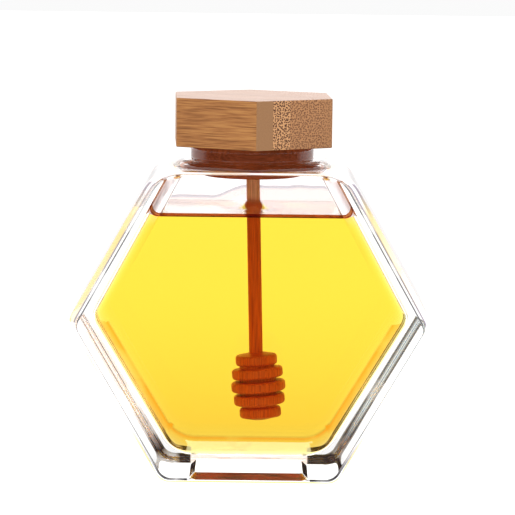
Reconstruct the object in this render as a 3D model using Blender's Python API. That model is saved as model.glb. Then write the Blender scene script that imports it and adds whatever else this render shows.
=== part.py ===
"""Hexagonal honey jar: a thick glass jar of six sides with a short round neck, filled with honey,
a turned wooden dipper standing in it, and a bamboo lid on a round stopper.

Metres, +Z up. The jar stands on z = 0, and its broad hexagonal front faces -Y.
"""

import math

import bmesh
import bpy

# Glass body. The hexagon lies in the XZ plane, and z = 0 is the surface the jar stands on.
SIDE_CORNER_X = 0.0565       # middle to the sharp side corner
SIDE_CORNER_Z = 0.0500       # height of the side corners
BODY_TOP_Z = 0.0966          # flat top that carries the neck
TOP_HALF_WIDTH = 0.0302      # sharp corner to middle, at the top
BASE_HALF_WIDTH = 0.0273     # sharp corner to middle, at the base
BODY_DEPTH = 0.0580          # front face to back face
SIDE_CORNER_RADIUS = 0.0050  # rounding of the corners, seen from the front: at the sides,
TOP_CORNER_RADIUS = 0.0105   # at the top
BASE_CORNER_RADIUS = 0.0050  # and at the base
BODY_EDGE_RADIUS = 0.0018    # rounding of the edges round the front and back faces

# Hollow of the glass body.
HOLLOW_CORNER_X = 0.0502
HOLLOW_TOP_Z = 0.0956
HOLLOW_TOP_HALF_WIDTH = 0.0254
HOLLOW_FLOOR_Z = 0.0062
HOLLOW_FLOOR_HALF_WIDTH = 0.0240
HOLLOW_DEPTH = 0.0465
HOLLOW_SIDE_CORNER_RADIUS = 0.0055
HOLLOW_TOP_CORNER_RADIUS = 0.0030
HOLLOW_FLOOR_CORNER_RADIUS = 0.0110
HOLLOW_EDGE_REACH = 0.0180          # how far the rounding of the front and back edges reaches in along Y
HOLLOW_TOP_ROUNDING = 0.0006        # and how far it reaches across, at the top,
HOLLOW_UPPER_ROUNDING = 0.0040      # at the two upper sides,
HOLLOW_LOWER_ROUNDING = 0.0060      # at the two lower sides
HOLLOW_FLOOR_ROUNDING = 0.0088      # and at the floor

# Shallow recess under the base, a rounded rectangle with sloping sides.
RECESS_HALF_WIDTH = 0.0186
RECESS_HALF_DEPTH = 0.0170
RECESS_CORNER_RADIUS = 0.0030
RECESS_HEIGHT = 0.0016
RECESS_SLOPE_RUN = 0.0018    # how far the sides lean in over that height

# Round neck, on a low round shoulder that stands on the flat top.
NECK_RADIUS = 0.0194
NECK_LIP_RADIUS = 0.0014     # rounding of the lip
NECK_FOOT_RADIUS = 0.0006    # hollow curve where the neck meets the shoulder
SHOULDER_REACH = 0.0050      # how far the shoulder's rounded side stands out beyond that curve
SHOULDER_HEIGHT = 0.0021
BORE_RADIUS = 0.0157
NECK_TOP_Z = 0.1030

# Stopper and lid.
GAP = 0.0003                 # between pieces that touch
STOPPER_RADIUS = 0.0154
STOPPER_BOTTOM_Z = 0.0936
STOPPER_EDGE = 0.0006
LID_ACROSS_FLATS = 0.0485
LID_HEIGHT = 0.0153
LID_EDGE = 0.0003
LID_TURN = math.radians(2.5)

# Honey and dipper. The dipper leans in the XZ plane, with its head to the right of the stopper's middle.
HONEY_LEVEL_Z = 0.0829
DIPPER_STICK_RADIUS = 0.00215
DIPPER_TIP_X = 0.0033        # where the lower end stands
DIPPER_TIP_Z = 0.0174
DIPPER_LEAN = math.radians(2.25)
DISC_RADII = (0.0065, 0.0079, 0.0085, 0.0079, 0.0065)   # from the lowest disc up
DISC_PITCH = 0.00420
DISC_THICKNESS = 0.0033
DISC_BULGE = 0.0010          # how far the rounded rim of a disc stands out
CORE_RADIUS = 0.0055         # between the discs
STICK_FOOT_FLARE = 0.0006    # where the stick widens into the top disc, outwards
STICK_FOOT_HEIGHT = 0.0009   # and upwards

# How far a cutter or a filler runs past the surface it works on.
OVERRUN = 0.0020

# Steps of the round stretches.
CORNER_STEPS = 4
EDGE_STEPS = 4
PROFILE_STEPS = 4
DISC_STEPS = 5
NECK_STEPS = 48
DIPPER_STEPS = 28


def new_object(name, mesh, color, roughness, transmission=0.0):
    material = bpy.data.materials.new(name)
    material.use_nodes = True
    shader = material.node_tree.nodes["Principled BSDF"]
    shader.inputs["Base Color"].default_value = (*color, 1.0)
    shader.inputs["Roughness"].default_value = roughness
    shader.inputs["Metallic"].default_value = 0.0
    shader.inputs["Transmission Weight"].default_value = transmission
    mesh.materials.append(material)
    node = bpy.data.objects.new(name, mesh)
    bpy.context.scene.collection.objects.link(node)
    return node


def shade_round(mesh, sharp_degrees=35.0):
    mesh.shade_smooth()
    mesh.set_sharp_from_angle(angle=math.radians(sharp_degrees))


def finished_mesh(name, work):
    bmesh.ops.recalc_face_normals(work, faces=work.faces)
    mesh = bpy.data.meshes.new(name)
    work.to_mesh(mesh)
    work.free()
    return mesh


def mesh_from_rings(name, rings):
    """Skin a stack of rings of equal length, and close both ends with a flat face."""
    work = bmesh.new()
    ring_verts = [[work.verts.new(point) for point in ring] for ring in rings]
    for lower, upper in zip(ring_verts, ring_verts[1:]):
        count = len(lower)
        for i in range(count):
            j = (i + 1) % count
            work.faces.new((lower[i], lower[j], upper[j], upper[i]))
    work.faces.new(list(reversed(ring_verts[0])))
    work.faces.new(ring_verts[-1])
    return finished_mesh(name, work)


def turned_mesh(name, profile, steps):
    """Turn a profile of (radius, z) points about Z. Its first and last points lie on the axis."""
    work = bmesh.new()
    bottom = work.verts.new((0.0, 0.0, profile[0][1]))
    top = work.verts.new((0.0, 0.0, profile[-1][1]))
    angles = [2.0 * math.pi * i / steps for i in range(steps)]
    rings = []
    for radius, z in profile[1:-1]:
        rings.append([work.verts.new((radius * math.cos(a), radius * math.sin(a), z)) for a in angles])
    for i in range(steps):
        j = (i + 1) % steps
        work.faces.new((bottom, rings[0][j], rings[0][i]))
        work.faces.new((top, rings[-1][i], rings[-1][j]))
        for lower, upper in zip(rings, rings[1:]):
            work.faces.new((lower[i], lower[j], upper[j], upper[i]))
    return finished_mesh(name, work)


def rounded_outline(corners, radii, inset=0.0):
    """Points of a convex counter-clockwise outline with rounded corners, moved in by inset."""
    points = []
    for i, (x, z) in enumerate(corners):
        before = corners[i - 1]
        after = corners[(i + 1) % len(corners)]
        to_before = math.atan2(before[1] - z, before[0] - x)
        to_after = math.atan2(after[1] - z, after[0] - x)
        half_angle = ((to_before - to_after) % (2.0 * math.pi)) / 2.0
        reach = radii[i] / math.sin(half_angle)
        centre_x = x + reach * math.cos(to_after + half_angle)
        centre_z = z + reach * math.sin(to_after + half_angle)
        start = to_before + math.pi / 2.0
        sweep = math.pi - 2.0 * half_angle
        for step in range(CORNER_STEPS + 1):
            angle = start + sweep * step / CORNER_STEPS
            arc_radius = radii[i] - inset
            points.append((centre_x + arc_radius * math.cos(angle), centre_z + arc_radius * math.sin(angle)))
    return points


def moved_in(corners, insets):
    """Corners of a counter-clockwise outline whose side i, from corner i on, moves in by insets[i]."""
    lines = []
    for i, (x, z) in enumerate(corners):
        next_x, next_z = corners[(i + 1) % len(corners)]
        length = math.hypot(next_x - x, next_z - z)
        across = (-(next_z - z) / length, (next_x - x) / length)
        lines.append((across, across[0] * x + across[1] * z + insets[i]))
    moved = []
    for i in range(len(corners)):
        (a, b), first = lines[i - 1]
        (c, d), second = lines[i]
        scale = a * d - b * c
        moved.append(((first * d - second * b) / scale, (a * second - c * first) / scale))
    return moved


def rounded_slab(name, corners, depth, radii, edge_reach, roundings):
    """A slab across Y with rounded corners. The edges round its front and back faces are rounded too:
    by edge_reach along Y, and across each side of the outline by that side's own rounding."""
    layers = []
    for step in range(EDGE_STEPS + 1):
        angle = math.pi / 2.0 * step / EDGE_STEPS
        layers.append((-depth / 2.0 + edge_reach * (1.0 - math.cos(angle)), 1.0 - math.sin(angle)))
    layers += [(-y, share) for y, share in reversed(layers)]
    rings = []
    for y, share in layers:
        outline = moved_in(corners, [rounding * share for rounding in roundings])
        layer_radii = [radius - min(roundings) * share for radius in radii]
        rings.append([(x, y, z) for x, z in rounded_outline(outline, layer_radii)])
    return mesh_from_rings(name, rings)


def hexagon(side_x, top_half, top_z, base_half, base_z):
    """Six corners, counter-clockwise in (x, z), from the right side corner."""
    return [
        (side_x, SIDE_CORNER_Z),
        (top_half, top_z),
        (-top_half, top_z),
        (-side_x, SIDE_CORNER_Z),
        (-base_half, base_z),
        (base_half, base_z),
    ]


def hollow_slab(name, inset=0.0):
    """The hollow of the jar, or a solid that fits in it, with each wall moved in by inset."""
    corners = hexagon(
        HOLLOW_CORNER_X, HOLLOW_TOP_HALF_WIDTH, HOLLOW_TOP_Z, HOLLOW_FLOOR_HALF_WIDTH, HOLLOW_FLOOR_Z
    )
    side = HOLLOW_SIDE_CORNER_RADIUS
    top = HOLLOW_TOP_CORNER_RADIUS
    floor = HOLLOW_FLOOR_CORNER_RADIUS
    radii = (side, top, top, side, floor, floor)
    roundings = (
        HOLLOW_UPPER_ROUNDING,
        HOLLOW_TOP_ROUNDING,
        HOLLOW_UPPER_ROUNDING,
        HOLLOW_LOWER_ROUNDING,
        HOLLOW_FLOOR_ROUNDING,
        HOLLOW_LOWER_ROUNDING,
    )
    return rounded_slab(
        name,
        moved_in(corners, [inset] * len(corners)),
        HOLLOW_DEPTH - 2.0 * inset,
        [radius - inset for radius in radii],
        HOLLOW_EDGE_REACH - inset,
        [rounding - inset for rounding in roundings],
    )


def arc_points(centre, reach_r, reach_z, start_degrees, end_degrees):
    """Points of an elliptical arc in a turned profile, about a centre given as (radius, z)."""
    points = []
    for step in range(PROFILE_STEPS + 1):
        angle = math.radians(start_degrees + (end_degrees - start_degrees) * step / PROFILE_STEPS)
        points.append((centre[0] + reach_r * math.cos(angle), centre[1] + reach_z * math.sin(angle)))
    return points


def helper(name, mesh):
    """A cutter or filler that only serves the modifiers of another object."""
    tool = bpy.data.objects.new(name, mesh)
    bpy.context.scene.collection.objects.link(tool)
    tool.hide_render = True
    tool.display_type = "WIRE"
    return tool


def add_boolean(node, tool, operation):
    modifier = node.modifiers.new(tool.name, "BOOLEAN")
    modifier.object = tool
    modifier.operation = operation
    modifier.solver = "EXACT"


def make_neck_blank():
    foot_r = NECK_RADIUS + NECK_FOOT_RADIUS
    shoulder = arc_points((foot_r, BODY_TOP_Z), SHOULDER_REACH, SHOULDER_HEIGHT, 0.0, 90.0)
    foot_centre = (foot_r, BODY_TOP_Z + SHOULDER_HEIGHT + NECK_FOOT_RADIUS)
    foot = arc_points(foot_centre, NECK_FOOT_RADIUS, NECK_FOOT_RADIUS, 270.0, 180.0)
    lip_centre = (NECK_RADIUS - NECK_LIP_RADIUS, NECK_TOP_Z - NECK_LIP_RADIUS)
    lip = arc_points(lip_centre, NECK_LIP_RADIUS, NECK_LIP_RADIUS, 0.0, 90.0)
    inside = BODY_TOP_Z - (BODY_TOP_Z - HOLLOW_TOP_Z) / 2.0
    start = [(0.0, inside), (foot_r + SHOULDER_REACH, inside)]
    profile = start + shoulder + foot[1:] + lip + [(0.0, NECK_TOP_Z)]
    return helper("neck_blank", turned_mesh("neck_blank", profile, NECK_STEPS))


def make_bore():
    below = HOLLOW_TOP_Z - OVERRUN
    above = NECK_TOP_Z + OVERRUN
    profile = [(0.0, below), (BORE_RADIUS, below), (BORE_RADIUS, above), (0.0, above)]
    return helper("bore", turned_mesh("bore", profile, NECK_STEPS))


def make_recess():
    corners = [
        (RECESS_HALF_WIDTH, -RECESS_HALF_DEPTH),
        (RECESS_HALF_WIDTH, RECESS_HALF_DEPTH),
        (-RECESS_HALF_WIDTH, RECESS_HALF_DEPTH),
        (-RECESS_HALF_WIDTH, -RECESS_HALF_DEPTH),
    ]
    radii = [RECESS_CORNER_RADIUS] * len(corners)
    run_below = -RECESS_SLOPE_RUN * OVERRUN / RECESS_HEIGHT
    rings = []
    for z, inset in ((-OVERRUN, run_below), (RECESS_HEIGHT, RECESS_SLOPE_RUN)):
        rings.append([(x, y, z) for x, y in rounded_outline(corners, radii, inset)])
    return helper("recess", mesh_from_rings("recess", rings))


def make_jar():
    corners = hexagon(SIDE_CORNER_X, TOP_HALF_WIDTH, BODY_TOP_Z, BASE_HALF_WIDTH, 0.0)
    side, top, base = SIDE_CORNER_RADIUS, TOP_CORNER_RADIUS, BASE_CORNER_RADIUS
    radii = (side, top, top, side, base, base)
    roundings = [BODY_EDGE_RADIUS] * len(corners)
    mesh = rounded_slab("jar", corners, BODY_DEPTH, radii, BODY_EDGE_RADIUS, roundings)
    jar = new_object("jar", mesh, (0.93, 0.95, 0.95), 0.02, transmission=1.0)
    add_boolean(jar, make_neck_blank(), "UNION")
    add_boolean(jar, helper("hollow", hollow_slab("hollow")), "DIFFERENCE")
    add_boolean(jar, make_bore(), "DIFFERENCE")
    add_boolean(jar, make_recess(), "DIFFERENCE")
    shade_round(mesh)


def dipper_profile(grow=0.0):
    """Stick and discs, from the lower end up to the stopper, in the dipper's own axis."""
    drop = (STOPPER_BOTTOM_Z - GAP - DIPPER_TIP_Z) / math.cos(DIPPER_LEAN)
    length = drop - DIPPER_STICK_RADIUS * math.tan(DIPPER_LEAN)
    points = [(0.0, -grow)]
    half = DISC_THICKNESS / 2.0
    for index, radius in enumerate(DISC_RADII):
        middle = index * DISC_PITCH + half
        bulge = min(DISC_BULGE, radius - CORE_RADIUS - GAP)
        if index:
            points.append((CORE_RADIUS + grow, middle - DISC_PITCH / 2.0))
        for step in range(DISC_STEPS + 1):
            angle = math.pi * (step / DISC_STEPS - 0.5)
            reach = radius - bulge + (bulge + grow) * math.cos(angle)
            points.append((reach, middle + (half + grow) * math.sin(angle)))
    head_top = (len(DISC_RADII) - 1) * DISC_PITCH + DISC_THICKNESS + grow
    stick_radius = DIPPER_STICK_RADIUS + grow
    points.append((stick_radius + STICK_FOOT_FLARE, head_top + STICK_FOOT_HEIGHT / 3.0))
    points.append((stick_radius, head_top + STICK_FOOT_HEIGHT))
    points.append((stick_radius, length))
    points.append((0.0, length))
    return points


def place_dipper(node):
    node.location = (DIPPER_TIP_X, 0.0, DIPPER_TIP_Z)
    node.rotation_euler = (0.0, -DIPPER_LEAN, 0.0)


def make_dipper():
    mesh = turned_mesh("dipper", dipper_profile(), DIPPER_STEPS)
    shade_round(mesh)
    place_dipper(new_object("dipper", mesh, (0.45, 0.20, 0.07), 0.5))


def make_above_honey():
    """A block over the whole hollow, from the level of the honey up."""
    width = 2.0 * (HOLLOW_CORNER_X + OVERRUN)
    depth = HOLLOW_DEPTH + 2.0 * OVERRUN
    height = NECK_TOP_Z - HONEY_LEVEL_Z
    work = bmesh.new()
    bmesh.ops.create_cube(work, size=1.0)
    bmesh.ops.scale(work, vec=(width, depth, height), verts=work.verts)
    bmesh.ops.translate(work, vec=(0.0, 0.0, HONEY_LEVEL_Z + height / 2.0), verts=work.verts)
    return helper("above_honey", finished_mesh("above_honey", work))


def make_honey():
    """Honey up to its level, with room for the dipper."""
    mesh = hollow_slab("honey", GAP)
    honey = new_object("honey", mesh, (0.95, 0.55, 0.02), 0.05, transmission=0.8)
    add_boolean(honey, make_above_honey(), "DIFFERENCE")
    room = helper("dipper_room", turned_mesh("dipper_room", dipper_profile(GAP), DIPPER_STEPS))
    place_dipper(room)
    add_boolean(honey, room, "DIFFERENCE")
    shade_round(mesh)


def make_stopper():
    edge_centre = (STOPPER_RADIUS - STOPPER_EDGE, STOPPER_BOTTOM_Z + STOPPER_EDGE)
    edge = arc_points(edge_centre, STOPPER_EDGE, STOPPER_EDGE, -90.0, 0.0)
    profile = [(0.0, STOPPER_BOTTOM_Z)] + edge + [(STOPPER_RADIUS, NECK_TOP_Z), (0.0, NECK_TOP_Z)]
    mesh = turned_mesh("stopper", profile, NECK_STEPS)
    shade_round(mesh)
    new_object("stopper", mesh, (0.40, 0.20, 0.08), 0.55)


def make_lid():
    """A block of six sides with one corner to the front, on small bevelled edges."""
    reach = LID_ACROSS_FLATS / 2.0 / math.cos(math.radians(30.0))
    outline = []
    for corner in range(6):
        angle = math.radians(-90.0 + 60.0 * corner) + LID_TURN
        outline.append((reach * math.cos(angle), reach * math.sin(angle)))
    bottom = NECK_TOP_Z + GAP
    mesh = mesh_from_rings("lid", [[(x, y, z) for x, y in outline] for z in (bottom, bottom + LID_HEIGHT)])
    lid = new_object("lid", mesh, (0.52, 0.30, 0.13), 0.5)
    bevel = lid.modifiers.new("edges", "BEVEL")
    bevel.width = LID_EDGE
    bevel.segments = 2
    bevel.limit_method = "ANGLE"


def main():
    for old in list(bpy.data.objects):
        bpy.data.objects.remove(old)
    make_jar()
    make_honey()
    make_dipper()
    make_stopper()
    make_lid()


main()
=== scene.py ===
import math
from functools import partial

import bmesh
import bpy
from mathutils import Matrix, Vector


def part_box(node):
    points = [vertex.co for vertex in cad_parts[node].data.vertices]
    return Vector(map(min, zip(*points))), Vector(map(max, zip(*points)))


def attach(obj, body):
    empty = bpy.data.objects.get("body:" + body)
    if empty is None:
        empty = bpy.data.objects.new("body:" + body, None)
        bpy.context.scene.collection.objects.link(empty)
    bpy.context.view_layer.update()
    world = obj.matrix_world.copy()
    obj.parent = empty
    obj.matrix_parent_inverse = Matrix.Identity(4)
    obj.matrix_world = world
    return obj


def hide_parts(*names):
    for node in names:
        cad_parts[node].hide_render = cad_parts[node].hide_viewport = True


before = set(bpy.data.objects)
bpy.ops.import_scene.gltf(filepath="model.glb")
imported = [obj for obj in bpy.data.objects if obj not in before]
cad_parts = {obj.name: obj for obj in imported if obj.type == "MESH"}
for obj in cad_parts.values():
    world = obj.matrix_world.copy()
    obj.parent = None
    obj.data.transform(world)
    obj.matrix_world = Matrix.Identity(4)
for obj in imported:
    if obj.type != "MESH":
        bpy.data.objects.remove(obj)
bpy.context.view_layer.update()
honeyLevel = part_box("honey")[1].z
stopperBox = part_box("stopper")
print("frame loaded")


def linearColor(hexCode, alpha=1.0):
    # sRGB hex to the linear values that shaders take
    parts = [int(hexCode[i:i + 2], 16) / 255 for i in (1, 3, 5)]
    return tuple(c / 12.92 if c <= 0.04045 else ((c + 0.055) / 1.055) ** 2.4 for c in parts) + (alpha,)


def addNode(tree, kind, inputs=(), stops=(), **settings):
    # one node with its settings and links; inputs go by name or, in a list, by place, and each takes a
    # value, a hex color, a socket, or a node for its first output; stops are places and colors of a ramp
    node = tree.nodes.new(kind if "Node" in kind else "ShaderNode" + kind)
    for key, value in settings.items():
        setattr(node, key, value)
    for key, value in inputs.items() if isinstance(inputs, dict) else enumerate(inputs):
        if isinstance(value, bpy.types.Node):
            value = value.outputs[0]
        if isinstance(value, bpy.types.NodeSocket):
            tree.links.new(value, node.inputs[key])
        else:
            node.inputs[key].default_value = linearColor(value) if isinstance(value, str) else value
    if stops:
        elements = node.color_ramp.elements
        while len(elements) < len(stops):
            elements.new(0.5)
        for element, (place, hexCode) in zip(elements, stops):
            element.position = place
            element.color = linearColor(hexCode)
    return node


def newMaterial(name):
    # an empty material, and what adds nodes to it
    material = bpy.data.materials.new(name)
    material.use_nodes = True
    material.node_tree.nodes.clear()
    return material, partial(addNode, material.node_tree)


def clamped(share):
    return min(max(share, 0.0), 1.0)


def cloudedColors(add, sizes, detail, *ramps):
    # noise of a size along each axis, then the colors that each list of stops gives over it
    place = add("TexCoord").outputs["Object"]
    mapped = add("Mapping", {"Vector": place, "Scale": [1 / size for size in sizes]})
    cloud = add("TexNoise", {"Vector": mapped, "Scale": 1.0, "Detail": detail})
    return [cloud] + [add("ValToRGB", {"Fac": cloud}, stops) for stops in ramps]


def newObject(name, data):
    item = bpy.data.objects.new(name, data)
    bpy.context.scene.collection.objects.link(item)
    return item


def addPiece(name, mesh, slot, *replaced):
    piece = newObject(name, mesh)
    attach(piece, "root")
    if replaced:
        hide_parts(*replaced)
    return piece


def evaluatedMesh(name, source):
    # the plain mesh that an object and its modifiers give; the object itself is removed
    depsgraph = bpy.context.evaluated_depsgraph_get()
    mesh = bpy.data.meshes.new_from_object(source.evaluated_get(depsgraph))
    mesh.name = name
    bpy.data.objects.remove(source)
    return mesh


def smoothFaces(mesh, sharpDegrees):
    mesh.shade_smooth()
    mesh.set_sharp_from_angle(angle=math.radians(sharpDegrees))


cameraView = {
    "place": (0.00203, -0.8190, 0.1737),
    "lookDown": 7.42,          # degrees
    "roll": 0.68,
    "focalPixels": 2600,       # a long lens, in pixels of the image
    "imagePixels": 515,
    "sensor": 36.0,
    "clip": (0.01, 50.0),
}


def makeCamera():
    lens = bpy.data.cameras.new("camera")
    lens.sensor_width = cameraView["sensor"]
    lens.lens = cameraView["focalPixels"] * cameraView["sensor"] / cameraView["imagePixels"]
    lens.clip_start, lens.clip_end = cameraView["clip"]
    camera = newObject("camera", lens)
    tilt = Matrix.Rotation(math.radians(90.0 - cameraView["lookDown"]), 4, "X")
    roll = Matrix.Rotation(math.radians(cameraView["roll"]), 4, "Z")
    camera.matrix_world = Matrix.Translation(cameraView["place"]) @ tilt @ roll
    bpy.context.scene.camera = camera


# Both six-sided shapes have corners at the sides, the top and the base. Their front and back edges are
# rounded: edgeReach deep, and edgeRoundings in from each side, counted from the upper right one
jarShape = {
    "sideX": 0.0565, "sideZ": 0.0500, "topHalf": 0.0302, "topZ": 0.0966, "baseHalf": 0.0273, "baseZ": 0.0,
    "depth": 0.0580, "sideRadius": 0.0050, "topRadius": 0.0105, "baseRadius": 0.0050,
    "edgeReach": 0.0022, "edgeRoundings": (0.0033, 0.0006, 0.0033, 0.0018, 0.0018, 0.0018),
}
hollowShape = {
    "sideX": 0.0502, "sideZ": 0.0500, "topHalf": 0.0254, "topZ": 0.0959, "baseHalf": 0.0240, "baseZ": 0.0062,
    "depth": 0.0465, "sideRadius": 0.0055, "topRadius": 0.0030, "baseRadius": 0.0110,
    "edgeReach": 0.0180, "edgeRoundings": (0.0040, 0.0003, 0.0040, 0.0060, 0.0088, 0.0060),
}
neckShape = {
    "radius": 0.0194, "lip": 0.0014, "foot": 0.0006, "shoulderReach": 0.0050, "shoulderHeight": 0.0021,
    "bore": 0.0157, "topZ": 0.1030, "steps": 128,
}
recessShape = {
    "halfWidth": 0.0186, "halfDepth": 0.0170, "corner": 0.0030, "height": 0.0016, "slopeRun": 0.0018,
    "edge": 0.0002,
}
stepsRound = {"corner": 12, "edge": 10, "turnedEdge": 12}
overrun = 0.002                # a cutting shape reaches this far past what it cuts


def hexCorners(shape):
    # counter-clockwise in (x, z), from the right side corner
    return [
        (shape["sideX"], shape["sideZ"]), (shape["topHalf"], shape["topZ"]),
        (-shape["topHalf"], shape["topZ"]), (-shape["sideX"], shape["sideZ"]),
        (-shape["baseHalf"], shape["baseZ"]), (shape["baseHalf"], shape["baseZ"]),
    ]


def roundedOutline(corners, radii, inset=0.0):
    points = []
    for i, (x, z) in enumerate(corners):
        before = corners[i - 1]
        after = corners[(i + 1) % len(corners)]
        toBefore = math.atan2(before[1] - z, before[0] - x)
        toAfter = math.atan2(after[1] - z, after[0] - x)
        halfAngle = ((toBefore - toAfter) % (2 * math.pi)) / 2
        reach = radii[i] / math.sin(halfAngle)
        centreX = x + reach * math.cos(toAfter + halfAngle)
        centreZ = z + reach * math.sin(toAfter + halfAngle)
        sweep = math.pi - 2 * halfAngle
        arcRadius = radii[i] - inset
        for step in range(stepsRound["corner"] + 1):
            angle = toBefore + math.pi / 2 + sweep * step / stepsRound["corner"]
            points.append((centreX + arcRadius * math.cos(angle), centreZ + arcRadius * math.sin(angle)))
    return points


def movedIn(corners, insets):
    # each side i, from corner i on, moves in by insets[i]
    lines = []
    for i, (x, z) in enumerate(corners):
        nextX, nextZ = corners[(i + 1) % len(corners)]
        length = math.hypot(nextX - x, nextZ - z)
        across = (-(nextZ - z) / length, (nextX - x) / length)
        lines.append((across, across[0] * x + across[1] * z + insets[i]))
    moved = []
    for i in range(len(corners)):
        (a, b), first = lines[i - 1]
        (c, d), second = lines[i]
        scale = a * d - b * c
        moved.append(((first * d - second * b) / scale, (a * second - c * first) / scale))
    return moved


def skinRings(work, rings):
    ringVerts = [[work.verts.new(point) for point in ring] for ring in rings]
    count = len(ringVerts[0])
    for lower, upper in zip(ringVerts, ringVerts[1:]):
        for i in range(count):
            work.faces.new((lower[i], lower[(i + 1) % count], upper[(i + 1) % count], upper[i]))
    work.faces.new(list(reversed(ringVerts[0])))
    work.faces.new(ringVerts[-1])
    bmesh.ops.recalc_face_normals(work, faces=work.faces)


def slabWork(shape, inset=0.0):
    # a six-sided slab across Y with rounded corners and rounded front and back edges
    corners = movedIn(hexCorners(shape), [inset] * 6)
    side, top, base = (shape[key] - inset for key in ("sideRadius", "topRadius", "baseRadius"))
    radii = (side, top, top, side, base, base)
    roundings = [rounding - inset for rounding in shape["edgeRoundings"]]
    halfDepth = shape["depth"] / 2 - inset
    edgeReach = shape["edgeReach"] - inset
    layers = []
    for step in range(stepsRound["edge"] + 1):
        angle = math.pi / 2 * step / stepsRound["edge"]
        layers.append((edgeReach * (1 - math.cos(angle)) - halfDepth, 1 - math.sin(angle)))
    layers += [(-y, share) for y, share in reversed(layers)]
    rings = []
    for y, share in layers:
        outline = movedIn(corners, [rounding * share for rounding in roundings])
        layerRadii = [radius - min(roundings) * share for radius in radii]
        rings.append([(x, y, z) for x, z in roundedOutline(outline, layerRadii)])
    work = bmesh.new()
    skinRings(work, rings)
    return work


def turnedWork(profile, steps):
    # a profile of (radius, z) from below to above, turned about Z; both ends lie on the axis
    work = bmesh.new()
    rings = []
    for radius, z in profile[1:-1]:
        angles = [2 * math.pi * i / steps for i in range(steps)]
        rings.append([work.verts.new((radius * math.cos(a), radius * math.sin(a), z)) for a in angles])
    ends = [work.verts.new((0, 0, profile[0][1])), work.verts.new((0, 0, profile[-1][1]))]
    for i in range(steps):
        j = (i + 1) % steps
        work.faces.new((ends[0], rings[0][j], rings[0][i]))
        work.faces.new((ends[1], rings[-1][i], rings[-1][j]))
        for lower, upper in zip(rings, rings[1:]):
            work.faces.new((lower[i], lower[j], upper[j], upper[i]))
    bmesh.ops.recalc_face_normals(work, faces=work.faces)
    return work


def toMesh(name, work):
    mesh = bpy.data.meshes.new(name)
    work.to_mesh(mesh)
    work.free()
    return mesh


def arcPoints(centre, reachR, reachZ, startDegrees, endDegrees):
    points = []
    for step in range(stepsRound["turnedEdge"] + 1):
        angle = math.radians(startDegrees + (endDegrees - startDegrees) * step / stepsRound["turnedEdge"])
        points.append((centre[0] + reachR * math.cos(angle), centre[1] + reachZ * math.sin(angle)))
    return points


def sliceAt(work, place, normal, faces=None, clearOuter=False):
    # a plane cuts new edges into the mesh, or into some of its faces
    parts = work.verts[:] + work.edges[:] + work.faces[:]
    if faces is not None:
        parts = list({part for face in faces for part in (*face.verts, *face.edges, face)})
    onPlane = 1e-7
    bmesh.ops.bisect_plane(
        work, geom=parts, dist=onPlane, plane_co=place, plane_no=normal, clear_outer=clearOuter
    )


def wallX(z):
    # half the width of the hollow at height z, on its upper slanting sides
    slope = (hollowShape["sideX"] - hollowShape["topHalf"]) / (hollowShape["topZ"] - hollowShape["sideZ"])
    return hollowShape["topHalf"] + (hollowShape["topZ"] - z) * slope


honeyLook = {
    "climb": 0.00004,          # the surface is almost flat up to the glass
    "climbRun": 0.0008,        # how fast its rise fades out
    "climbLean": 1.6,          # and how fast it gets less towards the back
    "stickClimb": 0.0030, "stickRun": 0.0016,
    "intoWall": 0.00015,       # the honey reaches just into the glass, so no air is left between them
    "intoStick": 0.0002,
    "bodySink": 0.00005,       # the colored body lies this far under the surface
    "rimSpacing": 0.0012, "rings": 30,
    "color": (0.995, 0.884, 0.204, 1.0), "density": 80.0,
    "plain": {"Roughness": 0.0, "IOR": 1.0},
    "topFrom": 0.0001, "topSlope": 0.15,      # which faces of the shell are its still top
    "still": {"Roughness": 0.12, "IOR": 1.49, "Coat Weight": 1.0, "Coat Roughness": 0.20, "Coat IOR": 1.6},
}
contactZ = honeyLevel + honeyLook["climb"]

glassLook = {
    "ior": 1.5, "wetIor": 1.012,                     # in air, and where it meets the honey
    "rippleSize": 0.014, "rippleHeight": 0.00002,
    "showFrom": 0.25, "showAll": 0.95,               # how strong a tone is where it starts to show
    "breakFrom": 0.38, "breakTo": 0.50, "breakLeast": 0.55,
    "paleFrom": 0.80, "paleTo": 0.90, "paleCover": 0.45,
    # how brightly the painted edge tones glow, as painted light
    "paintedEdgeGlow": 0.8,
    # the painted reflection of the wood in the slanting sides of the recess under the base
    "foot": "#B02C00", "footDark": "#641400", "footCloud": (0.009, 0.009, 0.0005),
    "lowCut": 0.018,                                 # where the lower sides get more points
    "clearFoot": 0.0187, "clearFootEnd": 0.0191, "footFaces": 0.0065,
}


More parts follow.
